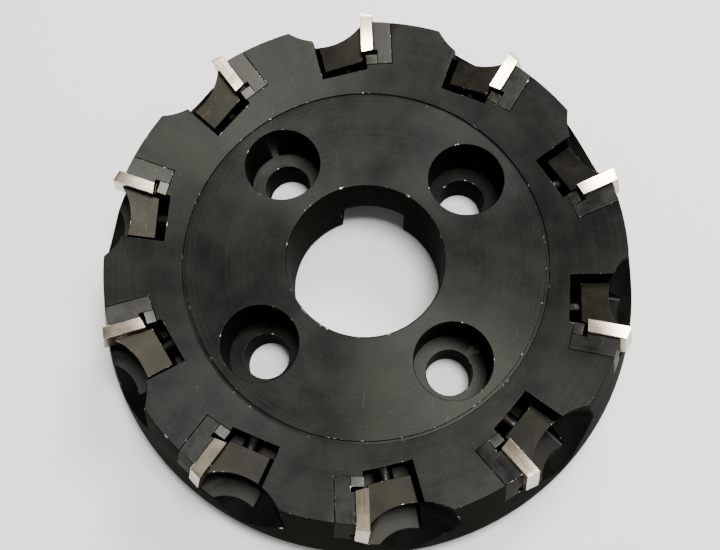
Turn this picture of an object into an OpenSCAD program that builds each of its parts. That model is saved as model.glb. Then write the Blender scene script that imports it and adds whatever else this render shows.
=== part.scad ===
// Face mill for a 75 degree lead: square inserts, each on its own seat and locator, clamped by a wedge.
// Origin at the centre of the back face. +Z points out of the cutting face, and the drive slot runs along Y.
// The cutter turns from X towards Y, so each insert leads its seat in that direction.

/* [Cutter] */
// Diameter over the insert tips
cutter_d = 200; // [190:1:250]
// Height from the back face to the cutting plane
cutter_h = 50; // [48:1:70]
// Number of teeth
teeth = 10; // [6:1:10]
// Angle of the first tooth from X
tooth_phase = 24.6; // [0:0.1:36]
// Tilt of the inserts, which is 90 degrees less the lead angle
lead_tilt = 15; // [10:1:18]
// Axial rake, the lean of each tooth about its radius
axial_rake = 5; // [0:1:8]

/* [Mounting] */
// Centre bore
bore_d = 60; // [40:0.5:62]
// Bolt circle
bolt_pcd = 101.6; // [98:0.1:106]
// Number of bolts
bolt_count = 4; // [4]
// Bolt hole
bolt_d = 18; // [14:0.5:20]
// Counterbore for the bolt heads
head_d = 29.3; // [26:0.1:31]
// Depth of the counterbores under the flat centre
head_depth = 23.5; // [12:0.5:30]
// Width of the drive slot
slot_w = 25.7; // [20:0.1:28]
// Depth of the drive slot
slot_depth = 18; // [8:0.5:18]

/* [Body] */
// Hub at the back
hub_d = 134; // [128:1:150]
// Height of the hub
hub_h = 10; // [8:0.5:21]
// Height of the sloped edge between the hub's shoulder and the rim
back_edge = 2.5; // [1:0.5:6]
// Flat centre of the cutting face
centre_d = 139; // [136:1:150]
// Width of the groove round the flat centre
groove_w = 1; // [0.6:0.1:2]
// Depth of the groove
groove_depth = 0.8; // [0.4:0.1:1.5]
// How far the body's face stays behind the insert's end edge
face_relief = 1.7; // [1:0.1:2.5]
// How far the body's rim stays behind the insert's outer edge
rim_relief = 3; // [1.5:0.1:3.5]
// Bevel on the back of the bore and on the hub
body_bevel = 1; // [0.5:0.1:2]
// Bevel on the mouth of the bore
mouth_bevel = 0.4; // [0.2:0.1:1]

/* [Insert] */
// Side of the square
insert_s = 15.875; // [12.7:0.005:16]
// Thickness
insert_t = 4.76; // [3.18:0.01:5.6]
// Clearance angle of the sides
insert_clearance = 11; // [7:1:15]
// Width of the small flat that wipes the work at each corner
wiper_w = 1.4; // [1:0.1:2]

/* [Seat and locator] */
// Thickness of the seat behind the insert
seat_t = 7.2; // [6:0.1:8]
// How far the seat's top is under the body's face
seat_drop = 0.3; // [0.1:0.1:0.8]
// Width of the locator's leg and height of its foot
locator_w = 4.4; // [4:0.1:6]
// Thickness of the locator
locator_t = 4.7; // [4:0.1:5]
// Depth of the step in the seat that the locator sits in
step_depth = 1.4; // [1:0.1:2]
// Relief between the locator's step and the insert's corner
corner_relief = 1.1; // [1:0.1:3]
// Height of the relieved part at the top of the locator
locator_relief_h = 4; // [2:0.5:6]
// Seat screw, across its thread
seat_screw_d = 5; // [4:0.5:5]
// Reach of the seat screw past the seat
seat_screw_reach = 8; // [6:1:9]
// Distance of the seat screw from the insert's outer edge
seat_screw_in = 9.5; // [8:0.1:9.6]
// Locator pin
pin_d = 3; // [2:0.5:3]
// Length of the locator pin
pin_l = 8; // [6:0.5:9]

/* [Wedge] */
// Angle between the wedge's two clamping faces
wedge_angle = 12; // [10:1:14]
// Width of the wedge at its inner end
wedge_w = 17.3; // [15:0.1:18]
// Depth of the wedge's inner end under the tip circle
wedge_reach = 16.5; // [16:0.1:18]
// Gap between the wedge and the floor of its slot
wedge_gap = 4.6; // [4:0.1:6]
// How far the wedge's top is under the body's face
wedge_drop = 3; // [2:0.1:4]
// Depth of the wedge slot under the cutting plane
slot_h = 26; // [25:0.5:28]
// Step of the slot behind the insert's front face
slot_undercut = 1.7; // [1:0.1:2]
// Bevel along the wedge's top edge on the body's side
wedge_bevel = 1.6; // [0.5:0.1:2]
// Radius of the chip gullet
gullet_r = 23.3; // [20:0.1:25]
// Deepest point of the gullet under the tip circle
gullet_depth = 9.8; // [8:0.1:11]
// Depth of the gullet's straight part under the cutting plane
gullet_h = 18; // [14:1:20]
// How far the insert's tip stands outside the wedge
tip_lead = 2.1; // [1.5:0.1:3]

/* [Wedge screw] */
// Screw, across its threads
screw_d = 8; // [6:0.5:8]
// Distance of the screw from the insert's front face, at the wedge's inner end
screw_offset = 7.2; // [6.5:0.1:9]
// Depth of the screw under the cutting plane
screw_z = 15.5; // [14:0.5:17]
// Length of thread in the body
screw_body_l = 7.5; // [6:0.5:8]
// Length of thread in the wedge
screw_wedge_l = 7.3; // [6:0.1:8]
// Neck between the two threads
neck_d = 6.2; // [4:0.1:6.5]
// Recess for the screw in the wedge's hollow face
recess_d = 10; // [9:0.5:11]
// Key size of the socket
socket_af = 4; // [3:0.5:4]

/* [Fits] */
// Gap between flat faces that slide
slide_gap = 0.02; // [0.01:0.01:0.05]
// Radial clearance of the screws and pins
screw_play = 0.05; // [0.02:0.01:0.08]

/* [Hidden] */
$fn = 96;
TOOTH = [for (i = [1:teeth]) i];
function named(stem) = [for (i = TOOTH) str(stem, "_", i)];
far = 60;
tip_r = cutter_d / 2;
bore_r = bore_d / 2;
hub_r = hub_d / 2;
centre_r = centre_d / 2;
// The insert's square corner, before the wiper flat cuts it, from the axis and from the cutting plane
corner_x = tip_r - wiper_w * pow(sin(lead_tilt), 2);
corner_z = wiper_w * sin(lead_tilt) * cos(lead_tilt);
// The body's edge between its dished face and its flared rim
edge_r = corner_x - rim_relief * cos(lead_tilt) + face_relief * sin(lead_tilt);
edge_z = cutter_h + corner_z - rim_relief * sin(lead_tilt) - face_relief * cos(lead_tilt);
centre_z = edge_z - (edge_r - centre_r) * tan(lead_tilt);
rim_low_z = hub_h + back_edge;
rim_low_r = edge_r + (edge_z - rim_low_z) * tan(lead_tilt);
shoulder_r = rim_low_r - back_edge;
// Angle from the X axis to the first bolt
bolt_phase = 45;
// Depths behind the insert's front face
seat_back = insert_t + seat_t;
locator_back = insert_t + step_depth;
locator_front = locator_back - locator_t;
pocket_s = insert_s + locator_w;
// The locator pin's place, in from the insert's corner along both edges
pin_at = slide_gap + locator_w / 2 - pocket_s;
// Height of the cone at the gullet's foot, which slopes at 45 degrees
runout_h = 17;
// The gullet's centre
gullet_x = tip_r - gullet_depth + gullet_r;
gullet_y = sqrt(pow(gullet_r, 2) - pow(gullet_x - tip_r + tip_lead, 2));
seat_screw_r = seat_screw_d / 2;
// The seat screw's head, as a share of its thread's diameter
seat_head_share = 0.92;
seat_head_r = seat_screw_d * seat_head_share;
seat_head_l = seat_head_r - seat_screw_r;
// How far the seat screw's head is under the seat's face
seat_head_sink = 0.3;
// A socket's share of the thread across its flats, and of the thread's length in depth
socket_share = 0.6;
// How far a cut starts outside the face it opens
cut_past = 1;
// How far a drilled hole runs past its screw or pin
drill_past = 1;
// How far a pin's end is under the locator's face, and the wedge screw's end under the recess
end_sink = 0.2;
// How far the locator's foot stops short of the rim
foot_setback = 2;
// Where the locator's relief starts past the insert's inner edge
relief_in = 0.6;
screw_r = screw_d / 2;
neck_l = wedge_gap + drill_past;
screw_l = screw_body_l + neck_l + screw_wedge_l;
screw_inner = -wedge_gap - screw_body_l;
socket_depth = screw_wedge_l * socket_share;
// Bevel on the screw's ends
screw_bevel = 0.6;

// Places its children at tooth i: X along the radius, Y the way the cutter turns, Z = 0 at the cutting plane
module tooth(i) {
    rotate([0, 0, tooth_phase + (i - 1) * 360 / teeth])
        translate([0, 0, cutter_h])
            rotate([-axial_rake, 0, 0])
                children();
}

// From the tooth's frame to the insert's: its corner is the origin, X runs along its end edge, Z along its
// outer edge, and its front face is Y = 0
module on_insert() {
    translate([corner_x, 0, corner_z])
        rotate([0, -lead_tilt, 0])
            children();
}

// From the tooth's frame to the wedge's: X along the screw, the wedge's inner front corner is the origin
module on_wedge() {
    translate([tip_r - wedge_reach, 0, 0])
        rotate([0, 0, wedge_angle])
            children();
}

// Turns a shape drawn in X and Y upright, with its thickness towards -Y
module upright(thickness) {
    rotate([90, 0, 0])
        linear_extrude(height = thickness)
            children();
}

module body_blank() {
    rotate_extrude()
        polygon([
            [bore_r + body_bevel, 0],
            [hub_r - body_bevel, 0],
            [hub_r, body_bevel],
            [hub_r, hub_h],
            [shoulder_r, hub_h],
            [rim_low_r, rim_low_z],
            [edge_r, edge_z],
            [centre_r, centre_z],
            [centre_r, centre_z - groove_depth],
            [centre_r - groove_w, centre_z - groove_depth],
            [centre_r - groove_w, centre_z],
            [bore_r + mouth_bevel, centre_z],
            [bore_r, centre_z - mouth_bevel],
            [bore_r, body_bevel]
        ]);
}

module bolt_holes() {
    for (i = [0:bolt_count - 1]) {
        rotate([0, 0, bolt_phase + i * 360 / bolt_count])
            translate([bolt_pcd / 2, 0, 0]) {
                translate([0, 0, -cut_past])
                    cylinder(d = bolt_d, h = cutter_h);
                translate([0, 0, centre_z - head_depth])
                    cylinder(d = head_d, h = cutter_h);
            }
    }
}

module drive_slot() {
    translate([-slot_w / 2, -hub_r - cut_past, -cut_past])
        cube([slot_w, hub_d + 2 * cut_past, slot_depth + cut_past]);
}

// The gullet's curve at full depth, which also hollows the wedge's outer face
module gullet() {
    translate([gullet_x, gullet_y, -cutter_h])
        cylinder(r = gullet_r, h = cutter_h + far);
}

// The gullet in the body: straight at the top, then a cone that runs out above the back of the rim
module body_gullet() {
    translate([gullet_x, gullet_y, 0])
        rotate_extrude()
            polygon([
                [0, -gullet_h - runout_h],
                [gullet_r - runout_h, -gullet_h - runout_h],
                [gullet_r, -gullet_h],
                [gullet_r, far],
                [0, far]
            ]);
}

// The pocket for the seat and locator
module seat_pocket() {
    on_insert()
        translate([-pocket_s, -seat_back, -pocket_s])
            cube([pocket_s + far, seat_back, pocket_s + far]);
}

// The slot for the wedge, with its radial wall on the side away from the insert
module wedge_slot() {
    intersection() {
        translate([0, -slot_undercut, -slot_h])
            cube([tip_r + far, tip_r, slot_h + far]);
        on_wedge()
            translate([-wedge_gap, -far, -slot_h - cut_past])
                cube([far + far, far + wedge_w, slot_h + far + far]);
    }
}

module seat_screw_axis() {
    on_insert()
        translate([-seat_screw_in, 0, -insert_s / 2])
            rotate([90, 0, 0])
                children();
}

module wedge_screw_axis() {
    on_wedge()
        translate([0, screw_offset, -screw_z])
            rotate([0, 90, 0])
                children();
}

module tooth_cuts() {
    body_gullet();
    seat_pocket();
    wedge_slot();
    seat_screw_axis()
        cylinder(r = seat_screw_r + screw_play, h = seat_back + seat_screw_reach + drill_past);
    wedge_screw_axis()
        translate([0, 0, screw_inner - drill_past])
            cylinder(r = screw_r + screw_play, h = screw_body_l + wedge_gap);
}

module cutter_body() {
    color("#3c3d3c")
        difference() {
            body_blank();
            bolt_holes();
            drive_slot();
            for (i = TOOTH) {
                tooth(i) tooth_cuts();
            }
        }
}

// The insert's outline: a square whose corners are cut by the wiper flats
module insert_outline() {
    wiper_x = wiper_w * cos(lead_tilt);
    wiper_y = wiper_w * sin(lead_tilt);
    half = insert_s / 2;
    corners = [[half - wiper_x, half], [half, half - wiper_y]];
    polygon([
        for (turn = [0:3])
            for (p = corners)
                [p[0] * cos(90 * turn) + p[1] * sin(90 * turn), p[1] * cos(90 * turn) - p[0] * sin(90 * turn)]
    ]);
}

module insert() {
    back_share = 1 - 2 * insert_t * tan(insert_clearance) / insert_s;
    color("#d9d2bf")
        on_insert()
            translate([-insert_s / 2, 0, -insert_s / 2])
                rotate([90, 0, 0])
                    linear_extrude(height = insert_t, scale = back_share)
                        insert_outline();
}

// The seat before its outer face is turned with the rim
module seat_block() {
    seat_top = face_relief + seat_drop;
    step = insert_s - corner_relief;
    difference() {
        on_insert()
            difference() {
                translate([-pocket_s + slide_gap, -seat_back + slide_gap, -pocket_s + slide_gap])
                    cube([pocket_s, seat_t - 2 * slide_gap, pocket_s - seat_top]);
                translate([-far, -locator_back - slide_gap, -far])
                    cube([far - step, locator_back, far + far]);
                translate([-far, -locator_back - slide_gap, -far])
                    cube([far + far, locator_back, far - step]);
                translate([pin_at, 0, pin_at])
                    upright(locator_front + pin_l + drill_past)
                        circle(d = pin_d + 2 * screw_play);
            }
        seat_screw_axis() {
            cylinder(r = seat_screw_r + screw_play, h = seat_back + drill_past);
            translate([0, 0, insert_t])
                cylinder(r = seat_head_r + screw_play, h = seat_head_sink);
            translate([0, 0, insert_t + seat_head_sink])
                cylinder(r1 = seat_head_r + screw_play, r2 = seat_screw_r + screw_play, h = seat_head_l);
        }
    }
}

module seat(i) {
    color("#55554f")
        intersection() {
            tooth(i) seat_block();
            body_blank();
        }
}

// The section of the locator's leg and foot: its face leans back to meet the insert's relieved side
module locator_section() {
    lean = tan(insert_clearance);
    polygon([
        [slide_gap, -locator_front],
        [locator_w - slide_gap + locator_front * lean, -locator_front],
        [locator_w - slide_gap + insert_t * lean, -insert_t],
        [locator_w - slide_gap + insert_t * lean, -locator_back],
        [slide_gap, -locator_back]
    ]);
}

module locator() {
    leg_h = pocket_s - face_relief - seat_drop - slide_gap;
    foot_l = pocket_s - rim_relief - 2 * slide_gap - foot_setback;
    color("#6b6b66")
        on_insert()
            difference() {
                union() {
                    translate([-pocket_s, 0, slide_gap - pocket_s])
                        linear_extrude(height = leg_h)
                            locator_section();
                    translate([slide_gap - pocket_s, 0, -pocket_s])
                        rotate([0, 90, 0])
                            rotate([0, 0, 180])
                                mirror([0, 1, 0])
                                    linear_extrude(height = foot_l)
                                        locator_section();
                }
                translate([-insert_s - relief_in, -far / 2, -face_relief - seat_drop - locator_relief_h])
                    cube([far, far, far]);
                translate([pin_at, 0, pin_at])
                    upright(locator_back + drill_past)
                        circle(d = pin_d + 2 * screw_play);
            }
}

module locator_pin() {
    on_insert()
        translate([pin_at, -locator_front - end_sink, pin_at])
            upright(pin_l)
                circle(d = pin_d);
}

module seat_screw() {
    seat_screw_axis()
        difference() {
            union() {
                translate([0, 0, insert_t + seat_head_sink])
                    cylinder(r1 = seat_head_r, r2 = seat_screw_r, h = seat_head_l);
                translate([0, 0, insert_t + seat_head_sink])
                    cylinder(r = seat_screw_r, h = seat_t - seat_head_sink + seat_screw_reach);
            }
            translate([0, 0, insert_t])
                cylinder(d = seat_screw_d * socket_share / cos(30), h = seat_head_sink + seat_head_l, $fn = 6);
        }
}

module wedge() {
    color("#3a332d")
        difference() {
            intersection() {
                translate([0, slide_gap, slide_gap - slot_h])
                    cube([gullet_x, tip_r, slot_h]);
                on_wedge()
                    translate([0, -far, -slot_h])
                        cube([far, far + wedge_w - slide_gap, slot_h]);
                on_insert()
                    translate([-far, -far, -far - face_relief - wedge_drop])
                        cube([far + far, far + far, far]);
            }
            gullet();
            on_wedge()
                on_wedge_top_edge()
                    rotate([45, 0, 0])
                        cube([far + far, wedge_bevel * sqrt(2), wedge_bevel * sqrt(2)], center = true);
            wedge_screw_axis() {
                translate([0, 0, -cut_past])
                    cylinder(r = screw_r + screw_play, h = far);
                translate([0, 0, screw_inner + screw_l + end_sink])
                    cylinder(d = recess_d, h = far);
            }
        }
}

// Places its children on the wedge's top edge on the body's side, which slopes up outwards
module on_wedge_top_edge() {
    wall_x = tip_r - wedge_reach - wedge_w * sin(wedge_angle);
    edge_top = corner_z - (face_relief + wedge_drop) / cos(lead_tilt) - (corner_x - wall_x) * tan(lead_tilt);
    slope = atan(tan(lead_tilt) * cos(wedge_angle));
    translate([0, wedge_w - slide_gap, edge_top])
        rotate([0, -slope, 0])
            children();
}

// Double-ended screw with a left and a right-hand thread
module wedge_screw() {
    color("#4c4c4a")
        wedge_screw_axis()
            translate([0, 0, screw_inner])
                difference() {
                    union() {
                        cylinder(r1 = screw_r - screw_bevel, r2 = screw_r, h = screw_bevel);
                        translate([0, 0, screw_bevel])
                            cylinder(r = screw_r, h = screw_body_l - screw_bevel);
                        cylinder(d = neck_d, h = screw_l - screw_bevel);
                        translate([0, 0, screw_l - screw_wedge_l])
                            cylinder(r = screw_r, h = screw_wedge_l - screw_bevel);
                        translate([0, 0, screw_l - screw_bevel])
                            cylinder(r1 = screw_r, r2 = screw_r - screw_bevel, h = screw_bevel);
                    }
                    translate([0, 0, screw_l - socket_depth])
                        cylinder(d = socket_af / cos(30), h = socket_depth + cut_past, $fn = 6);
                }
}

cutter_body();
color("#4c4c4a") for (i = TOOTH) tooth(i) seat_screw();  // seat_screws
color("#8a8a86") for (i = TOOTH) tooth(i) locator_pin();  // locator_pins
for (i = TOOTH) {
    tooth(i) insert();
    seat(i);
    tooth(i) locator();
    tooth(i) wedge();
    tooth(i) wedge_screw();
}
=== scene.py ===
"""Face mill with ten square inserts, each held on a seat and locator by a wedge and a double-ended screw."""

import logging
from dataclasses import dataclass, field
from enum import Enum
from math import cos, pi, radians, sin, tan
from typing import Any, Iterable

import bmesh
import bpy
from mathutils import Matrix, Vector


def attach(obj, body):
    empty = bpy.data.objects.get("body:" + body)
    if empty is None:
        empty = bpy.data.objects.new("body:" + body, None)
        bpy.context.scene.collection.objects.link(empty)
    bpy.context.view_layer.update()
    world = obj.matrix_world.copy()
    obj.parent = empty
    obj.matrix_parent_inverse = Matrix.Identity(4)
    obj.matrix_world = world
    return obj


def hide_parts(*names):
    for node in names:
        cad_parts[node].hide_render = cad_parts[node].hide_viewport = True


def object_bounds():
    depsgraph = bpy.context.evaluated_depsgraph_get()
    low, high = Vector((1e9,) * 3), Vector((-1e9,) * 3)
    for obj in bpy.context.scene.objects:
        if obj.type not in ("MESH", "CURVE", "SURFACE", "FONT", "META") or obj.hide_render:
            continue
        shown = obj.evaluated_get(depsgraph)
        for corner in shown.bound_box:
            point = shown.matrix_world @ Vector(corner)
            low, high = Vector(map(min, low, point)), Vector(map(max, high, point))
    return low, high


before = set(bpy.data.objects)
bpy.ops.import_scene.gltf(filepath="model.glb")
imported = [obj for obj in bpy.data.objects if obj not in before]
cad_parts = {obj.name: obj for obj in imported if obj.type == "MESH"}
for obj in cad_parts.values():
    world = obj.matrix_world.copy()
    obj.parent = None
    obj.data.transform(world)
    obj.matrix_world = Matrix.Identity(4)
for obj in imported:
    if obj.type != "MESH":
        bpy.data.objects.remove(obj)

CAD_BOX = [list(corner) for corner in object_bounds()]
MM = 0.001
LOG = logging.getLogger("face_mill")
# How far each station's pattern is moved from the one before, in mm
STATION_SHIFT = 61.7
# A noise is near 0.5 over most of a surface: where the tones and the stains start and end in it
TONE_STEP = (0.34, 0.68)
STAIN_STEP = (0.5, 0.74)


# ---------------------------------------------------------------- shared helpers


def srgb(code: str) -> tuple[float, float, float, float]:
    """Turn an sRGB hex colour to the linear colour that shaders take.

    Args:
        code: Six hex digits, such as "3a3b3b".

    Returns:
        Linear red, green, blue and an alpha of 1.
    """

    def linear(byte: int) -> float:
        """One channel from 0-255 to linear."""
        share = byte / 255
        return share / 12.92 if share <= 0.04045 else ((share + 0.055) / 1.055) ** 2.4

    red, green, blue = (linear(int(code[i : i + 2], 16)) for i in (0, 2, 4))
    return (red, green, blue, 1.0)


def add_node(
    tree: bpy.types.NodeTree, kind: str, inputs: dict[Any, Any] | None = None, **settings: Any
) -> bpy.types.Node:
    """Add a shader node with its settings and what goes into it.

    Args:
        tree: The node tree.
        kind: The node's type name.
        inputs: Socket name or index to a value, or to the output socket that feeds it.
        **settings: The node's own properties.

    Returns:
        The new node.
    """
    node = tree.nodes.new(kind)
    for name, value in settings.items():
        setattr(node, name, value)
    for name, value in (inputs or {}).items():
        if isinstance(value, bpy.types.NodeSocket):
            tree.links.new(value, node.inputs[name])
        else:
            node.inputs[name].default_value = value
    return node


def object_from(bm: bmesh.types.BMesh, name: str, smooth_angle: float = 32.0) -> bpy.types.Object:
    """Make a scene object of a finished bmesh and free the bmesh.

    Args:
        bm: The shape, with its place in its vertices, in metres.
        name: The object's name.
        smooth_angle: Edges sharper than this many degrees stay sharp.

    Returns:
        The object, at the origin.
    """
    mesh = bpy.data.meshes.new(name)
    bm.to_mesh(mesh)
    bm.free()
    mesh.shade_smooth()
    mesh.set_sharp_from_angle(angle=radians(smooth_angle))
    made = bpy.data.objects.new(name, mesh)
    bpy.context.scene.collection.objects.link(made)
    return made


def even_normals(piece: bpy.types.Object) -> None:
    """Let the large faces set the shading, so that flat faces stay flat between rounded edges.

    Args:
        piece: The object.
    """
    weighted = piece.modifiers.new("Even_normals", "WEIGHTED_NORMAL")
    weighted.mode = "FACE_AREA_WITH_ANGLE"
    weighted.weight = 80
    weighted.keep_sharp = True


def write_station(piece: bpy.types.Object, to_local: Matrix, number: int) -> None:
    """Store each vertex's place in its station's own frame, in mm, for patterns that follow the part.

    Args:
        piece: The object.
        to_local: From the row frame to the station's frame.
        number: The station, which shifts the pattern so that no two parts are alike.
    """
    mesh = piece.data
    places = mesh.attributes.new("local_mm", "FLOAT_VECTOR", "POINT")
    for vertex in mesh.vertices:
        places.data[vertex.index].vector = (to_local @ vertex.co) / MM
    order = mesh.attributes.new("station", "FLOAT", "POINT")
    order.data.foreach_set("value", [float(number)] * len(mesh.vertices))


# ---------------------------------------------------------------- layout


@dataclass(frozen=True)
class Layout:
    """Where the ten stations are. Lengths in mm, angles in degrees."""

    teeth: int = 10
    first_angle: float = 24.6
    height: float = 50.0
    tip_radius: float = 100.0
    lead_tilt: float = 15.0
    axial_rake: float = 5.0
    wiper_width: float = 1.4
    wedge_reach: float = 16.5
    wedge_angle: float = 12.0
    screw_offset: float = 7.2
    screw_depth: float = 15.5
    insert_side: float = 15.875
    insert_thickness: float = 4.76
    seat_screw_in: float = 9.5

    def middle(self) -> Vector:
        """The cutter's axis in the row frame, at the back face."""
        low, high = (Vector(corner) for corner in CAD_BOX)
        return Vector(((low.x + high.x) / 2, (low.y + high.y) / 2, low.z))

    def tooth(self, number: int) -> Matrix:
        """Get a tooth's frame: X along the radius, Y the way the cutter turns, Z = 0 at the cutting plane.

        Args:
            number: The station, from 1.

        Returns:
            From the tooth's frame to the row frame, in metres.
        """
        angle = radians(self.first_angle + (number - 1) * 360 / self.teeth)
        return (
            Matrix.Translation(self.middle())
            @ Matrix.Rotation(angle, 4, "Z")
            @ Matrix.Translation((0, 0, self.height * MM))
            @ Matrix.Rotation(radians(-self.axial_rake), 4, "X")
        )

    def insert(self, number: int) -> Matrix:
        """Get an insert's frame: its outer corner is the origin and its front face is Y = 0.

        Args:
            number: The station, from 1.

        Returns:
            From the insert's frame to the row frame, in metres.
        """
        tilt = radians(self.lead_tilt)
        corner = Vector(
            (
                self.tip_radius - self.wiper_width * sin(tilt) ** 2,
                0,
                self.wiper_width * sin(tilt) * cos(tilt),
            )
        )
        return (
            self.tooth(number)
            @ Matrix.Translation(corner * MM)
            @ Matrix.Rotation(-tilt, 4, "Y")
        )

    def wedge(self, number: int) -> Matrix:
        """Get a wedge's frame: X runs along its screw from the wedge's inner end.

        Args:
            number: The station, from 1.

        Returns:
            From the wedge's frame to the row frame, in metres.
        """
        return (
            self.tooth(number)
            @ Matrix.Translation(((self.tip_radius - self.wedge_reach) * MM, 0, 0))
            @ Matrix.Rotation(radians(self.wedge_angle), 4, "Z")
        )

    def screw(self, number: int) -> Matrix:
        """Get a wedge screw's frame: Z runs outwards along the screw.

        Args:
            number: The station, from 1.

        Returns:
            From the screw's frame to the row frame, in metres.
        """
        return (
            self.wedge(number)
            @ Matrix.Translation((0, self.screw_offset * MM, -self.screw_depth * MM))
            @ Matrix.Rotation(pi / 2, 4, "Y")
        )

    def seat_screw(self, number: int) -> Matrix:
        """Get a seat screw's frame: Z runs back from the insert's front face into the seat.

        Args:
            number: The station, from 1.

        Returns:
            From the seat screw's frame to the row frame, in metres.
        """
        return (
            self.insert(number)
            @ Matrix.Translation((-self.seat_screw_in * MM, 0, -self.insert_side / 2 * MM))
            @ Matrix.Rotation(pi / 2, 4, "X")
        )


# ---------------------------------------------------------------- finishes


class Frame(Enum):
    """Which coordinates a finish's patterns read."""

    CUTTER = "row frame, about the cutter's axis"
    STATION = "the part's own station"


@dataclass(frozen=True)
class Steel:
    """A machined steel or carbide finish: two tones, bare metal where edges are rubbed, marks and speckle.

    Colours are sRGB hex. Sizes are in mm.
    """

    name: str
    dark: str
    light: str
    bare: str
    tint: str
    reads: Frame = Frame.STATION
    tint_share: float = 0.25
    metallic: float = 1.0
    roughness: float = 0.4
    roughness_spread: float = 0.12
    patch_mm: float = 14.0
    mark_mm: float = 0.9
    mark_direction: tuple[float, float, float] = (0.04, 1.0, 1.0)
    mark_depth_mm: float = 0.01
    mark_tone: float = 0.35
    speckle_mm: float = 0.8
    speckle_share: float = 0.1
    speckle_tone: float = 0.1
    scratch_share: float = 0.02
    stretch: float = 0.0
    glancing: str = "ffffff"
    wear: float = 0.6
    wear_mm: float = 3.0
    grain_mm: float = 0.45
    grain_depth_mm: float = 0.006

    def build(self) -> bpy.types.Material:
        """Make the material, or return it if it is made already."""
        known = bpy.data.materials.get(self.name)
        if known is not None:
            return known
        material = bpy.data.materials.new(self.name)
        material.use_nodes = True
        tree = material.node_tree
        tree.nodes.clear()
        place = self._place(tree)
        marks = self._marks(tree, place)
        colour, roughness = self._tones(tree, place, marks)
        shader = add_node(
            tree,
            "ShaderNodeBsdfPrincipled",
            {
                "Base Color": colour,
                "Metallic": self.metallic,
                "Roughness": roughness,
                "Normal": self._bump(tree, place, marks),
                "Anisotropic": self.stretch,
                "Specular Tint": srgb(self.glancing),
            },
        )
        if self.stretch:
            tree.links.new(self._across_turning(tree, place), shader.inputs["Tangent"])
        add_node(tree, "ShaderNodeOutputMaterial", {"Surface": shader.outputs["BSDF"]})
        return material

    def _place(self, tree: bpy.types.NodeTree) -> bpy.types.NodeSocket:
        """Add the pattern's coordinates.

        Args:
            tree: The node tree.

        Returns:
            The place in mm.
        """
        if self.reads is Frame.CUTTER:
            own = add_node(tree, "ShaderNodeTexCoord")
            scaled = add_node(
                tree,
                "ShaderNodeVectorMath",
                {0: own.outputs["Object"], "Scale": 1 / MM},
                operation="SCALE",
            )
            return scaled.outputs[0]
        local = add_node(tree, "ShaderNodeAttribute", attribute_name="local_mm")
        station = add_node(tree, "ShaderNodeAttribute", attribute_name="station")
        apart = add_node(
            tree, "ShaderNodeMath", {0: station.outputs["Fac"], 1: STATION_SHIFT}, operation="MULTIPLY"
        )
        shift = add_node(
            tree,
            "ShaderNodeCombineXYZ",
            {0: apart.outputs[0], 1: apart.outputs[0], 2: apart.outputs[0]},
        )
        moved = add_node(
            tree,
            "ShaderNodeVectorMath",
            {0: local.outputs["Vector"], 1: shift.outputs[0]},
            operation="ADD",
        )
        return moved.outputs[0]

    def _noise(
        self,
        tree: bpy.types.NodeTree,
        place: bpy.types.NodeSocket,
        size_mm: float,
        detail: float = 2.0,
        rough: float = 0.5,
    ) -> bpy.types.NodeSocket:
        """Add a noise whose features are about size_mm across.

        Args:
            tree: The node tree.
            place: The place in mm.
            size_mm: The features' size.
            detail: Octaves.
            rough: How strong the finer octaves are.

        Returns:
            A value about 0.5.
        """
        made = add_node(
            tree,
            "ShaderNodeTexNoise",
            {"Vector": place, "Scale": 1 / size_mm, "Detail": detail, "Roughness": rough},
            noise_dimensions="3D",
        )
        return made.outputs["Fac"]

    def _step(
        self, tree: bpy.types.NodeTree, value: bpy.types.NodeSocket, low: float, high: float
    ) -> bpy.types.NodeSocket:
        """Add a soft step: 0 under low, 1 over high.

        Args:
            tree: The node tree.
            value: What is stepped.
            low: Where the step starts.
            high: Where the step ends.

        Returns:
            A value from 0 to 1.
        """
        made = add_node(
            tree,
            "ShaderNodeMapRange",
            {"Value": value, "From Min": low, "From Max": high},
            interpolation_type="SMOOTHSTEP",
        )
        return made.outputs["Result"]

    def _marks(
        self, tree: bpy.types.NodeTree, place: bpy.types.NodeSocket
    ) -> bpy.types.NodeSocket:
        """Add the marks that the tool or wheel left, as rings about the axis or as straight lines.

        Args:
            tree: The node tree.
            place: The place in mm.

        Returns:
            The marks' height, from 0 to 1.
        """
        if self.reads is Frame.CUTTER:
            flat = add_node(
                tree, "ShaderNodeVectorMath", {0: place, 1: (1, 1, 0)}, operation="MULTIPLY"
            )
            radius = add_node(
                tree, "ShaderNodeVectorMath", {0: flat.outputs[0]}, operation="LENGTH"
            )
            apart = add_node(tree, "ShaderNodeSeparateXYZ", {0: place})
            across = add_node(
                tree,
                "ShaderNodeCombineXYZ",
                {0: radius.outputs["Value"], 1: apart.outputs["Z"]},
            ).outputs[0]
        else:
            across = add_node(
                tree,
                "ShaderNodeVectorMath",
                {0: place, 1: self.mark_direction},
                operation="MULTIPLY",
            ).outputs[0]
        return self._noise(tree, across, self.mark_mm, 3.0, 0.65)

    def _across_turning(
        self, tree: bpy.types.NodeTree, place: bpy.types.NodeSocket
    ) -> bpy.types.NodeSocket:
        """Add the direction across the turned lines, along which they spread a highlight.

        Args:
            tree: The node tree.
            place: The place in mm.

        Returns:
            The direction, in the surface.
        """
        round_axis = add_node(
            tree, "ShaderNodeVectorMath", {0: (0, 0, 1), 1: place}, operation="CROSS_PRODUCT"
        )
        surface = add_node(tree, "ShaderNodeNewGeometry")
        across = add_node(
            tree,
            "ShaderNodeVectorMath",
            {0: round_axis.outputs[0], 1: surface.outputs["Normal"]},
            operation="CROSS_PRODUCT",
        )
        return add_node(
            tree, "ShaderNodeVectorMath", {0: across.outputs[0]}, operation="NORMALIZE"
        ).outputs[0]

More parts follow.
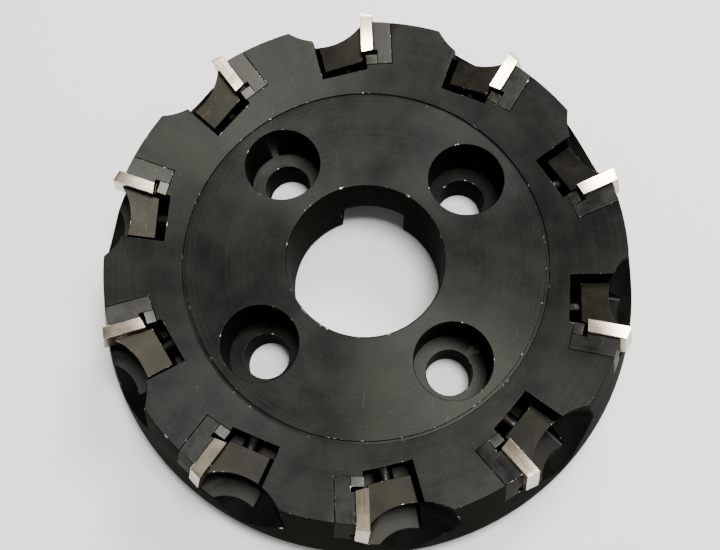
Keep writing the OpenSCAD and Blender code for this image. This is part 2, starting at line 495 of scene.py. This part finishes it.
    def _tones(
        self,
        tree: bpy.types.NodeTree,
        place: bpy.types.NodeSocket,
        marks: bpy.types.NodeSocket,
    ) -> tuple[bpy.types.NodeSocket, bpy.types.NodeSocket]:
        """Add the colour and roughness.

        Args:
            tree: The node tree.
            place: The place in mm.
            marks: The marks' height.

        Returns:
            The colour and the roughness.
        """
        patch = self._noise(tree, place, self.patch_mm, 4.0, 0.6)
        weighed = add_node(
            tree,
            "ShaderNodeMix",
            {0: self.mark_tone, 2: patch, 3: marks},
            data_type="FLOAT",
        ).outputs[0]
        share = self._step(tree, weighed, *TONE_STEP)
        toned = self._mixed(tree, share, srgb(self.dark), srgb(self.light))
        stain = self._step(tree, self._noise(tree, place, self.patch_mm * 1.9, 3.0), *STAIN_STEP)
        stain_share = add_node(
            tree, "ShaderNodeMath", {0: stain, 1: self.tint_share}, operation="MULTIPLY"
        ).outputs[0]
        toned = self._mixed(tree, stain_share, toned, srgb(self.tint))
        speck = self._noise(tree, place, self.speckle_mm, 1.0)
        speck = self._step(tree, speck, 0.78 - self.speckle_share, 0.84 - self.speckle_share)
        scratch = self._scratches(tree, place)
        fine = add_node(tree, "ShaderNodeMath", {0: speck, 1: scratch}, operation="MAXIMUM")
        fine = add_node(
            tree, "ShaderNodeMath", {0: fine.outputs[0], 1: self.speckle_tone}, operation="MULTIPLY"
        )
        toned = self._mixed(tree, fine.outputs[0], toned, srgb(self.bare))
        worn = self._wear(tree, place)
        colour = self._mixed(tree, worn, toned, srgb(self.bare))
        rough = add_node(
            tree,
            "ShaderNodeMapRange",
            {
                "Value": weighed,
                "From Min": 0.25,
                "From Max": 0.75,
                "To Min": self.roughness - self.roughness_spread,
                "To Max": self.roughness + self.roughness_spread,
            },
        ).outputs["Result"]
        rubbed = add_node(
            tree,
            "ShaderNodeMix",
            {0: worn, 2: rough, 3: self.roughness * 0.72},
            data_type="FLOAT",
        )
        return colour, rubbed.outputs[0]

    def _mixed(
        self, tree: bpy.types.NodeTree, share: Any, first: Any, second: Any
    ) -> bpy.types.NodeSocket:
        """Add a mix of two colours.

        Args:
            tree: The node tree.
            share: How much of the second.
            first: A colour or the socket that gives it.
            second: A colour or the socket that gives it.

        Returns:
            The mixed colour.
        """
        made = add_node(
            tree, "ShaderNodeMix", {0: share, 6: first, 7: second}, data_type="RGBA"
        )
        return made.outputs[2]

    def _scratches(
        self, tree: bpy.types.NodeTree, place: bpy.types.NodeSocket
    ) -> bpy.types.NodeSocket:
        """Add short straight scratches in two directions.

        Args:
            tree: The node tree.
            place: The place in mm.

        Returns:
            1 on a scratch, else 0.
        """
        found = []
        for turn in ((0.3, 0.2, 0.9), (-0.5, 0.4, -0.5)):
            turned = add_node(
                tree,
                "ShaderNodeMapping",
                {"Vector": place, "Rotation": turn, "Scale": (1.0, 0.05, 1.0)},
            )
            line = self._noise(tree, turned.outputs[0], 0.8, 0.0)
            found.append(
                self._step(tree, line, 0.86 - self.scratch_share, 0.9 - self.scratch_share)
            )
        both = add_node(
            tree, "ShaderNodeMath", {0: found[0], 1: found[1]}, operation="MAXIMUM"
        )
        return both.outputs[0]

    def _wear(
        self, tree: bpy.types.NodeTree, place: bpy.types.NodeSocket
    ) -> bpy.types.NodeSocket:
        """Add the wear, which is only on edges and comes and goes along them.

        Args:
            tree: The node tree.
            place: The place in mm.

        Returns:
            1 where the metal is bare.
        """
        edge = add_node(tree, "ShaderNodeAttribute", attribute_name="edge")
        patchy = self._noise(tree, place, self.wear_mm, 4.0, 0.7)
        patchy = self._step(tree, patchy, 0.72 - 0.4 * self.wear, 0.82 - 0.4 * self.wear)
        made = add_node(
            tree, "ShaderNodeMath", {0: edge.outputs["Fac"], 1: patchy}, operation="MULTIPLY"
        )
        return made.outputs[0]

    def _bump(
        self,
        tree: bpy.types.NodeTree,
        place: bpy.types.NodeSocket,
        marks: bpy.types.NodeSocket,
    ) -> bpy.types.NodeSocket:
        """Add the surface's relief: the marks, then the grain.

        Args:
            tree: The node tree.
            place: The place in mm.
            marks: The marks' height.

        Returns:
            The normal.
        """
        lines = add_node(
            tree,
            "ShaderNodeBump",
            {"Height": marks, "Distance": self.mark_depth_mm * MM, "Strength": 1.0},
        )
        grain = self._noise(tree, place, self.grain_mm, 2.0)
        both = add_node(
            tree,
            "ShaderNodeBump",
            {
                "Height": grain,
                "Distance": self.grain_depth_mm * MM,
                "Strength": 1.0,
                "Normal": lines.outputs["Normal"],
            },
        )
        return both.outputs["Normal"]


# Hot-blackened steel: a thin magnetite skin over turned steel, near black, with a soft metal sheen that the
# turning draws out across its lines, and rubbed bare at a few spots on edges. The feed lines are about
# 0.25 mm apart, drawn as 0.9 mm so that they show.
BLACK_OXIDE = Steel(
    name="Black_oxide_turned_steel",
    dark="161615",
    light="20201e",
    bare="b9b6ae",
    tint="1f201b",
    reads=Frame.CUTTER,
    roughness=0.42,
    roughness_spread=0.07,
    stretch=0.8,
    glancing="adadab",
    mark_mm=0.9,
    mark_depth_mm=0.010,
    speckle_tone=0.014,
    wear=0.3,
)
# Hardened, blackened and face-ground steel: even grey with straight grinding lines.
SEAT_STEEL = Steel(
    name="Ground_blackened_tool_steel",
    dark="171716",
    light="242422",
    bare="c4c1b8",
    tint="1f201a",
    glancing="b4b4b2",
    roughness=0.38,
    mark_direction=(0.05, 1.0, 1.0),
    mark_mm=0.6,
    patch_mm=7.0,
    speckle_tone=0.02,
    wear=0.35,
)
# The locators are ground on all sides and hold less of the blackening.
LOCATOR_STEEL = Steel(
    name="Ground_tool_steel",
    dark="232421",
    light="383833",
    bare="cfccc3",
    tint="2a2e24",
    glancing="b4b4b2",
    roughness=0.36,
    mark_direction=(1.0, 1.0, 0.06),
    mark_mm=0.6,
    patch_mm=6.0,
    speckle_tone=0.02,
    wear=0.4,
)
# Browned wedge steel: the blackening over a milled face has a warm cast, and chips have rubbed it.
WEDGE_STEEL = Steel(
    name="Browned_milled_steel",
    dark="161613",
    light="1f1e1a",
    bare="bdb6a9",
    tint="221f17",
    tint_share=0.4,
    glancing="b4b4b2",
    roughness=0.42,
    mark_direction=(1.0, 1.0, 0.07),
    mark_mm=0.8,
    mark_depth_mm=0.012,
    patch_mm=8.0,
    speckle_tone=0.02,
    wear=0.35,
)
# Ground cemented carbide: pale warm grey, satin, with very fine wheel lines drawn as 0.5 mm.
CARBIDE = Steel(
    name="Ground_cemented_carbide",
    dark="9b907c",
    light="b6ab97",
    bare="dcd3c2",
    tint="978b72",
    tint_share=0.3,
    roughness=0.23,
    roughness_spread=0.05,
    mark_direction=(0.05, 1.0, 1.0),
    mark_mm=0.5,
    mark_depth_mm=0.003,
    mark_tone=0.5,
    patch_mm=6.0,
    speckle_share=0.02,
    speckle_tone=0.15,
    wear=0.9,
    grain_depth_mm=0.002,
)
# Heat-treated alloy screws with a thin oiled blackening, rubbed bright on their threads.
SCREW_STEEL = Steel(
    name="Oiled_black_alloy_steel",
    dark="242423",
    light="3b3a37",
    bare="c9c6be",
    tint="302b23",
    glancing="b4b4b2",
    roughness=0.32,
    mark_direction=(0.1, 0.1, 1.0),
    mark_mm=0.5,
    patch_mm=4.0,
    speckle_tone=0.1,
    wear=0.6,
)
# Hardened and ground dowel steel: bright, with lines round the pin.
PIN_STEEL = Steel(
    name="Ground_dowel_steel",
    dark="7d7d78",
    light="a3a29b",
    bare="d3d1c9",
    tint="777463",
    roughness=0.28,
    mark_direction=(0.1, 1.0, 0.1),
    mark_mm=0.4,
    patch_mm=3.0,
    wear=0.6,
)


# ---------------------------------------------------------------- parts from the frame


def stand_for(piece: bpy.types.Object, node: str, body: str, slot: str, finish: Steel) -> None:
    """Dress a piece, let it stand for its node and report it.

    Args:
        piece: The object.
        node: The node that it replaces.
        body: The body that carries it.
        slot: The material slot's name; not used.
        finish: What it is made of.
    """
    piece.data.materials.append(finish.build())
    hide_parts(node)
    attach(piece, body)
    LOG.info("%s: %d faces", piece.name, len(piece.data.polygons))


def gathered(parts: Iterable[bmesh.types.BMesh]) -> bmesh.types.BMesh:
    """Join shapes in one and free them.

    Args:
        parts: The shapes, each in its place.

    Returns:
        The whole.
    """
    whole = bmesh.new()
    for bm in parts:
        part = bpy.data.meshes.new("Part")
        bm.to_mesh(part)
        bm.free()
        whole.from_mesh(part)
        bpy.data.meshes.remove(part)
    return whole


@dataclass
class RoundedCopy:
    """A machined part with its sharp outer edges rounded. Sizes in mm, angles in degrees."""

    node: str
    piece: str
    body: str
    slot: str
    finish: Steel
    radius: float = 0.25
    sharp_angle: float = 30.0
    segments: int = 2

    def build(self) -> bpy.types.Object:
        """Make the piece and let it stand for its node.

        Returns:
            The piece.
        """
        bm = bmesh.new()
        bm.from_mesh(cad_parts[self.node].data)
        bmesh.ops.remove_doubles(bm, verts=bm.verts[:], dist=1e-6)
        bmesh.ops.dissolve_limit(
            bm,
            angle_limit=radians(0.4),
            use_dissolve_boundaries=False,
            verts=bm.verts[:],
            edges=bm.edges[:],
        )
        mark = bm.faces.layers.float.new("edge")
        sharp = [edge for edge in bm.edges if self._is_outer(edge)]
        rounded = bmesh.ops.bevel(
            bm,
            geom=sharp,
            offset=self.radius * MM,
            offset_type="OFFSET",
            affect="EDGES",
            segments=self.segments,
            profile=0.5,
            material=-1,
            clamp_overlap=False,
            loop_slide=True,
        )
        for face in rounded["faces"]:
            face[mark] = 1.0
        piece = object_from(bm, self.piece, 40.0)
        even_normals(piece)
        stand_for(piece, self.node, self.body, self.slot, self.finish)
        return piece

    def _is_outer(self, edge: bmesh.types.BMEdge) -> bool:
        """True if the edge is sharp and stands out."""
        return (
            len(edge.link_faces) == 2
            and edge.is_convex
            and edge.calc_face_angle() > radians(self.sharp_angle)
        )


@dataclass
class CutterBody:
    """The one-piece body with its pockets, slots, bore and bolt holes."""

    finish: Steel = BLACK_OXIDE
    edge_radius: float = 0.3

    def build(self) -> bpy.types.Object:
        """Make the body."""
        return RoundedCopy(
            node="cutter_body",
            piece="Cutter_body",
            body="cutter",
            slot="black_oxide",
            finish=self.finish,
            radius=self.edge_radius,
        ).build()


@dataclass
class Station:
    """One tooth: its seat, locator, insert, wedge and wedge screw."""

    layout: Layout
    number: int

    def build(self) -> list[bpy.types.Object]:
        """Make the station's pieces in the order they are put together.

        Returns:
            The pieces.
        """
        back = self.layout.insert(self.number).inverted()
        seat = RoundedCopy(
            node=f"seat_{self.number}",
            piece=f"Seat_{self.number}",
            body="cutter",
            slot="seat_steel",
            finish=SEAT_STEEL,
            radius=0.2,
        ).build()
        locator = RoundedCopy(
            node=f"locator_{self.number}",
            piece=f"Locator_{self.number}",
            body="cutter",
            slot="locator_steel",
            finish=LOCATOR_STEEL,
            radius=0.18,
        ).build()
        wedge = RoundedCopy(
            node=f"wedge_{self.number}",
            piece=f"Wedge_{self.number}",
            body=f"wedge_{self.number}",
            slot="wedge_steel",
            finish=WEDGE_STEEL,
            radius=0.25,
        ).build()
        for piece in (seat, locator, wedge):
            write_station(piece, back, self.number)
        insert = Insert(self.layout, self.number).build()
        screw = WedgeScrew(self.layout, self.number).build()
        return [seat, locator, insert, wedge, screw]


# ---------------------------------------------------------------- new pieces


@dataclass
class Insert:
    """A square insert with wiper flats, clearance all round and a honed edge. Sizes in mm."""

    layout: Layout
    number: int
    clearance: float = 11.0
    hone: float = 0.16
    back_bevel: float = 0.25

    def build(self) -> bpy.types.Object:
        """Make the insert.

        Returns:
            The piece.
        """
        bm = bmesh.new()
        front = bm.faces.new([bm.verts.new(place) for place in self._outline()])
        grown = bmesh.ops.extrude_face_region(bm, geom=[front])
        moved = [item for item in grown["geom"] if isinstance(item, bmesh.types.BMVert)]
        side = self.layout.insert_side
        thick = self.layout.insert_thickness
        share = 1 - 2 * thick * tan(radians(self.clearance)) / side
        middle = Vector((-side / 2, 0, -side / 2)) * MM
        bmesh.ops.scale(
            bm, vec=(share, 1, share), space=Matrix.Translation(-middle), verts=moved
        )
        bmesh.ops.translate(bm, vec=(0, -thick * MM, 0), verts=moved)
        bmesh.ops.recalc_face_normals(bm, faces=bm.faces[:])
        mark = bm.faces.layers.float.new("edge")
        front_edges = [e for e in bm.edges if all(abs(v.co.y) < 1e-7 for v in e.verts)]
        honed = bmesh.ops.bevel(
            bm,
            geom=front_edges,
            offset=self.hone * MM,
            offset_type="OFFSET",
            affect="EDGES",
            segments=2,
            profile=0.5,
            material=-1,
            clamp_overlap=True,
        )
        for face in honed["faces"]:
            face[mark] = 1.0
        back_edges = [
            e for e in bm.edges if all(abs(v.co.y + thick * MM) < 1e-7 for v in e.verts)
        ]
        eased = bmesh.ops.bevel(
            bm,
            geom=back_edges,
            offset=self.back_bevel * MM,
            offset_type="OFFSET",
            affect="EDGES",
            segments=1,
            profile=0.5,
            material=-1,
            clamp_overlap=True,
        )
        for face in eased["faces"]:
            face[mark] = 0.6
        bmesh.ops.transform(bm, matrix=self.layout.insert(self.number), verts=bm.verts[:])
        piece = object_from(bm, f"Insert_{self.number}", 25.0)
        write_station(piece, self.layout.insert(self.number).inverted(), self.number)
        name = f"insert_{self.number}"
        stand_for(piece, name, name, "carbide", CARBIDE)
        return piece

    def _outline(self) -> list[Vector]:
        """Get the front face's corners.

        Returns:
            Eight places in the insert's frame, in metres.
        """
        half = self.layout.insert_side / 2
        along = self.layout.wiper_width * cos(radians(self.layout.lead_tilt))
        down = self.layout.wiper_width * sin(radians(self.layout.lead_tilt))
        places = []
        for turn in range(4):
            for x, z in ((half - along, half), (half, half - down)):
                for _ in range(turn):
                    x, z = z, -x
                places.append(Vector((x - half, 0, z - half)) * MM)
        return places


def spun(
    profile: Iterable[tuple[float, float]], steps: int = 64
) -> bmesh.types.BMesh:
    """Turn a profile about Z.

    Args:
        profile: Radius and height of each point in mm, from the bottom of the axis to its top.
        steps: Sides of the full turn.

    Returns:
        A closed shape with its faces outwards, in metres.
    """
    bm = bmesh.new()
    chain = [bm.verts.new((radius * MM, 0, height * MM)) for radius, height in profile]
    edges = [bm.edges.new(pair) for pair in zip(chain, chain[1:])]
    bmesh.ops.spin(
        bm,
        geom=chain + edges,
        cent=(0, 0, 0),
        axis=(0, 0, 1),
        dvec=(0, 0, 0),
        angle=2 * pi,
        steps=steps,
        use_merge=True,
        use_duplicate=False,
    )
    bmesh.ops.remove_doubles(bm, verts=bm.verts[:], dist=1e-7)
    bmesh.ops.recalc_face_normals(bm, faces=bm.faces[:])
    return bm


def add_thread(
    bm: bmesh.types.BMesh,
    root: float,
    crest: float,
    low: float,
    high: float,
    pitch: float,
    right_hand: bool,
    steps: int = 32,
) -> None:
    """Add a screw thread as one ridge that winds round a core.

    Args:
        bm: The screw, in metres.
        root: Radius of the core in mm.
        crest: Radius over the thread in mm.
        low: Where the thread starts, in mm along Z.
        high: Where the thread ends, in mm along Z.
        pitch: Distance between turns in mm.
        right_hand: False for a left-hand thread.
        steps: Sides of one turn.
    """
    half = pitch * 0.46
    flat = pitch * 0.08
    sunk = root - 0.25
    rise = high - low - 2 * half
    turns = rise / pitch
    start = low + half
    outline = (
        (sunk, start - half),
        (crest, start - flat),
        (crest, start + flat),
        (sunk, start + half),
    )
    verts = [bm.verts.new((radius * MM, 0, height * MM)) for radius, height in outline]
    section = bm.faces.new(verts)
    count = max(8, round(turns * steps))
    bmesh.ops.spin(
        bm,
        geom=[section],
        cent=(0, 0, 0),
        axis=(0, 0, 1),
        dvec=(0, 0, rise * MM / count),
        angle=(2 * pi if right_hand else -2 * pi) * turns,
        steps=count,
        use_merge=False,
        use_duplicate=False,
    )


def sink_socket(
    bm: bmesh.types.BMesh, top: bmesh.types.BMFace, flats: float, depth: float
) -> None:
    """Sink a hexagon socket in a flat round end.

    Args:
        bm: The screw, in metres, with its socket end towards +Z.
        top: The flat end's face.
        flats: Key size in mm.
        depth: Depth in mm.
    """
    rim = [loop.vert.co.copy() for loop in top.loops]
    height = rim[0].z
    bmesh.ops.delete(bm, geom=[top], context="FACES_ONLY")
    corners = flats / 2 / cos(pi / 6) * MM
    mouth = bmesh.ops.create_circle(
        bm,
        cap_ends=False,
        radius=corners + 0.25 * MM,
        segments=6,
        matrix=Matrix.Translation((0, 0, height)),
    )["verts"]
    open_edges = [edge for edge in bm.edges if len(edge.link_faces) < 2]
    bmesh.ops.bridge_loops(bm, edges=open_edges)
    ring = [e for e in bm.edges if e.is_boundary and all(v in mouth for v in e.verts)]
    for shrink, down in ((corners / (corners + 0.25 * MM), 0.25), (1.0, depth), (0.05, 0.9)):
        grown = bmesh.ops.extrude_edge_only(bm, edges=ring)["geom"]
        verts = [item for item in grown if isinstance(item, bmesh.types.BMVert)]
        ring = [
            item
            for item in grown
            if isinstance(item, bmesh.types.BMEdge) and all(v in verts for v in item.verts)
        ]
        bmesh.ops.scale(bm, vec=(shrink, shrink, 1), verts=verts)
        bmesh.ops.translate(bm, vec=(0, 0, -down * MM), verts=verts)
    bmesh.ops.holes_fill(bm, edges=ring, sides=6)
    bmesh.ops.recalc_face_normals(bm, faces=bm.faces[:])


@dataclass
class WedgeScrew:
    """A double-ended screw: a left-hand thread in the body and a right-hand one in the wedge. Sizes in mm."""

    layout: Layout
    number: int
    radius: float = 4.0
    neck_radius: float = 3.1
    body_length: float = 7.5
    neck_length: float = 5.6
    wedge_length: float = 7.3
    gap: float = 4.6
    pitch: float = 1.0
    bevel: float = 0.6
    thread_depth: float = 0.6
    key: float = 4.0
    socket_depth: float = 4.1

    def build(self) -> bpy.types.Object:
        """Make the screw.

        Returns:
            The piece.
        """
        low = -self.gap - self.body_length
        neck = low + self.body_length
        far = neck + self.neck_length
        high = far + self.wedge_length
        core = self.radius - self.thread_depth
        bm = spun(
            [
                (core - self.bevel, low),
                (core, low + self.bevel),
                (core, neck - 0.5),
                (self.neck_radius, neck),
                (self.neck_radius, far),
                (core, far + 0.3),
                (core, high - 0.75),
                (core - 0.3, high),
            ],
            48,
        )
        ends = [edge for edge in bm.edges if edge.is_boundary]
        bmesh.ops.holes_fill(bm, edges=ends, sides=0)
        top = max(bm.faces, key=lambda face: face.calc_center_median().z)
        sink_socket(bm, top, self.key, self.socket_depth)
        add_thread(bm, core, self.radius, low + 0.3, neck - 0.2, self.pitch, False)
        add_thread(bm, core, self.radius, far + 0.1, high - 0.35, self.pitch, True)
        bmesh.ops.recalc_face_normals(bm, faces=bm.faces[:])
        self._mark_rubbed(bm)
        bmesh.ops.transform(bm, matrix=self.layout.screw(self.number), verts=bm.verts[:])
        piece = object_from(bm, f"Wedge_screw_{self.number}", 35.0)
        write_station(piece, self.layout.screw(self.number).inverted(), self.number)
        name = f"wedge_screw_{self.number}"
        stand_for(piece, name, name, "screw_steel", SCREW_STEEL)
        return piece

    def _mark_rubbed(self, bm: bmesh.types.BMesh) -> None:
        """Mark the thread's crests, which rub bare.

        Args:
            bm: The screw in its own frame, in metres.
        """
        mark = bm.faces.layers.float.new("edge")
        for face in bm.faces:
            middle = face.calc_center_median()
            if Vector((middle.x, middle.y)).length > (self.radius - 0.1) * MM:
                face[mark] = 1.0


@dataclass
class SeatScrews:
    """The countersunk screws that hold the seats, with hexagon sockets. Sizes in mm."""

    layout: Layout
    thread_radius: float = 2.5
    head_radius: float = 4.6
    head_top: float = 5.06
    head_height: float = 2.1
    length: float = 14.9
    pitch: float = 0.8
    key: float = 3.0
    socket_depth: float = 2.0
    rubbed: float = 0.4

    def build(self) -> bpy.types.Object:
        """Make all ten screws as one piece.

        Returns:
            The piece.
        """
        whole = gathered(self._screw(number) for number in range(1, self.layout.teeth + 1))
        mark = whole.faces.layers.float.new("edge")
        for face in whole.faces:
            face[mark] = self.rubbed
        piece = object_from(whole, "Seat_screws", 35.0)
        write_station(piece, Matrix.Identity(4), 1)
        stand_for(piece, "seat_screws", "cutter", "screw_steel", SCREW_STEEL)
        return piece

    def _screw(self, number: int) -> bmesh.types.BMesh:
        """Make one screw with its head towards the insert, and put it in its seat.

        Args:
            number: The station, from 1.

        Returns:
            The screw in the row frame, in metres.
        """
        top = -self.head_top
        core = self.thread_radius - 0.45
        bm = spun(
            [
                (core - 0.4, top - self.length),
                (core, top - self.length + 0.5),
                (core, top - self.head_height),
                (self.head_radius - 0.12, top - 0.2),
                (self.head_radius - 0.12, top - 0.1),
                (self.head_radius - 0.25, top),
            ],
            40,
        )
        bmesh.ops.holes_fill(bm, edges=[e for e in bm.edges if e.is_boundary], sides=0)
        lid = max(bm.faces, key=lambda face: face.calc_center_median().z)
        sink_socket(bm, lid, self.key, self.socket_depth)
        add_thread(
            bm,
            core,
            self.thread_radius,
            top - self.length + 0.3,
            top - self.head_height - 0.2,
            self.pitch,
            True,
            20,
        )
        bmesh.ops.recalc_face_normals(bm, faces=bm.faces[:])
        place = self.layout.seat_screw(number) @ Matrix.Rotation(pi, 4, "X")
        bmesh.ops.transform(bm, matrix=place, verts=bm.verts[:])
        return bm


@dataclass
class LocatorPins:
    """The dowels that hold the locators, with rounded ends. Sizes in mm."""

    layout: Layout
    radius: float = 1.5
    length: float = 8.0
    locator_width: float = 4.4
    locator_gap: float = 0.02
    front: float = 1.66
    ease: float = 0.35

    def build(self) -> bpy.types.Object:
        """Make all ten pins as one piece.

        Returns:
            The piece.
        """
        whole = gathered(self._pin(number) for number in range(1, self.layout.teeth + 1))
        piece = object_from(whole, "Locator_pins", 35.0)
        write_station(piece, Matrix.Identity(4), 1)
        stand_for(piece, "locator_pins", "cutter", "pin_steel", PIN_STEEL)
        return piece

    def _pin(self, number: int) -> bmesh.types.BMesh:
        """Make one pin and put it in its locator.

        Args:
            number: The station, from 1.

        Returns:
            The pin in the row frame, in metres.
        """
        across = self.locator_gap - self.locator_width / 2 - self.layout.insert_side
        bm = spun(
            [
                (self.radius - self.ease, 0.0),
                (self.radius - 0.1, 0.1),
                (self.radius, self.ease),
                (self.radius, self.length - self.ease),
                (self.radius - 0.1, self.length - 0.1),
                (self.radius - self.ease, self.length),
            ],
            40,
        )
        bmesh.ops.holes_fill(bm, edges=[e for e in bm.edges if e.is_boundary], sides=0)
        bmesh.ops.recalc_face_normals(bm, faces=bm.faces[:])
        place = (
            self.layout.insert(number)
            @ Matrix.Translation((across * MM, -self.front * MM, across * MM))
            @ Matrix.Rotation(pi / 2, 4, "X")
        )
        bmesh.ops.transform(bm, matrix=place, verts=bm.verts[:])
        return bm


# ---------------------------------------------------------------- studio


@dataclass
class SoftLight:
    """A square studio light that faces a point. Lengths in metres."""

    name: str
    place: tuple[float, float, float]
    size: float
    watts: float
    colour: str = "ffffff"
    aim: tuple[float, float, float] = (0.0, 0.0, 0.05)

    def build(self) -> bpy.types.Object:
        """Make the light.

        Returns:
            The light.
        """
        data = bpy.data.lights.new(self.name, "AREA")
        data.shape = "DISK"
        data.size = self.size
        data.energy = self.watts
        data.color = srgb(self.colour)[:3]
        made = bpy.data.objects.new(self.name, data)
        made.location = self.place
        facing = Vector(self.place) - Vector(self.aim)
        made.rotation_euler = facing.to_track_quat("Z", "Y").to_euler()
        bpy.context.scene.collection.objects.link(made)
        return made


@dataclass
class Studio:
    """The floor, lights and camera. Lengths in metres, angles in degrees."""

    azimuth: float = -10.193
    elevation: float = 73.315
    roll: float = -4.868
    distance: float = 0.35987
    target: tuple[float, float, float] = (-0.00151, -0.00536, 0.037)
    lens: float = 47.264
    sensor: float = 36.0
    floor_size: float = 6.0
    floor_colour: str = "ebedec"
    world_colour: str = "e6e5e0"
    world_strength: float = 0.45
    lights: list[SoftLight] = field(
        default_factory=lambda: [
            SoftLight("Overhead_panel", (0.14, 0.08, 1.05), 0.34, 18.0, "fffdf8"),
            SoftLight("Back_panel", (0.24, 0.72, 0.86), 0.42, 14.0, "fbfcff"),
            SoftLight("Side_lamp", (0.78, -0.25, 0.95), 0.12, 1.0, "fff9ee"),
        ]
    )

    def build(self) -> None:
        """Make the floor, the lights, the world and the camera."""
        self._floor()
        for light in self.lights:
            light.build()
        self._world()
        self._camera()

    def _floor(self) -> None:
        """Make the pale floor under the cutter."""
        bm = bmesh.new()
        bmesh.ops.create_grid(bm, x_segments=1, y_segments=1, size=self.floor_size / 2)
        low = min(corner[2] for corner in CAD_BOX)
        bmesh.ops.translate(bm, vec=(0, 0, low - 0.00002), verts=bm.verts[:])
        floor = object_from(bm, "Floor")
        paper = bpy.data.materials.new("Matt_white_paper")
        paper.use_nodes = True
        shader = paper.node_tree.nodes["Principled BSDF"]
        shader.inputs["Base Color"].default_value = srgb(self.floor_colour)
        shader.inputs["Roughness"].default_value = 0.9
        shader.inputs["Specular IOR Level"].default_value = 0.1
        floor.data.materials.append(paper)

    def _world(self) -> None:
        """Make the even light all round."""
        world = bpy.data.worlds.new("Studio_air")
        world.use_nodes = True
        air = world.node_tree.nodes["Background"]
        air.inputs["Color"].default_value = srgb(self.world_colour)
        air.inputs["Strength"].default_value = self.world_strength
        bpy.context.scene.world = world

    def _camera(self) -> None:
        """Make the camera."""
        data = bpy.data.cameras.new("Camera")
        data.lens = self.lens
        data.sensor_width = self.sensor
        data.sensor_fit = "HORIZONTAL"
        data.dof.use_dof = False
        made = bpy.data.objects.new("Camera", data)
        az, el, turn = radians(self.azimuth), radians(self.elevation), radians(self.roll)
        back = Vector((-sin(az) * cos(el), -cos(az) * cos(el), sin(el)))
        level = (-back).cross(Vector((0, 0, 1))).normalized()
        upright = level.cross(-back)
        right = cos(turn) * level + sin(turn) * upright
        up = -sin(turn) * level + cos(turn) * upright
        made.matrix_world = Matrix.Translation(
            Vector(self.target) + self.distance * back
        ) @ Matrix((right, up, back)).transposed().to_4x4()
        bpy.context.scene.collection.objects.link(made)
        bpy.context.scene.camera = made


def main() -> None:
    """Build the cutter and the studio, piece by piece."""
    logging.basicConfig(level=logging.INFO, format="%(name)s: %(message)s")
    layout = Layout()
    CutterBody().build()
    SeatScrews(layout).build()
    LocatorPins(layout).build()
    for number in range(1, layout.teeth + 1):
        made = Station(layout, number).build()
        LOG.info("station %d: %s", number, ", ".join(piece.name for piece in made))
    Studio().build()


if __name__ == "__main__":
    main()
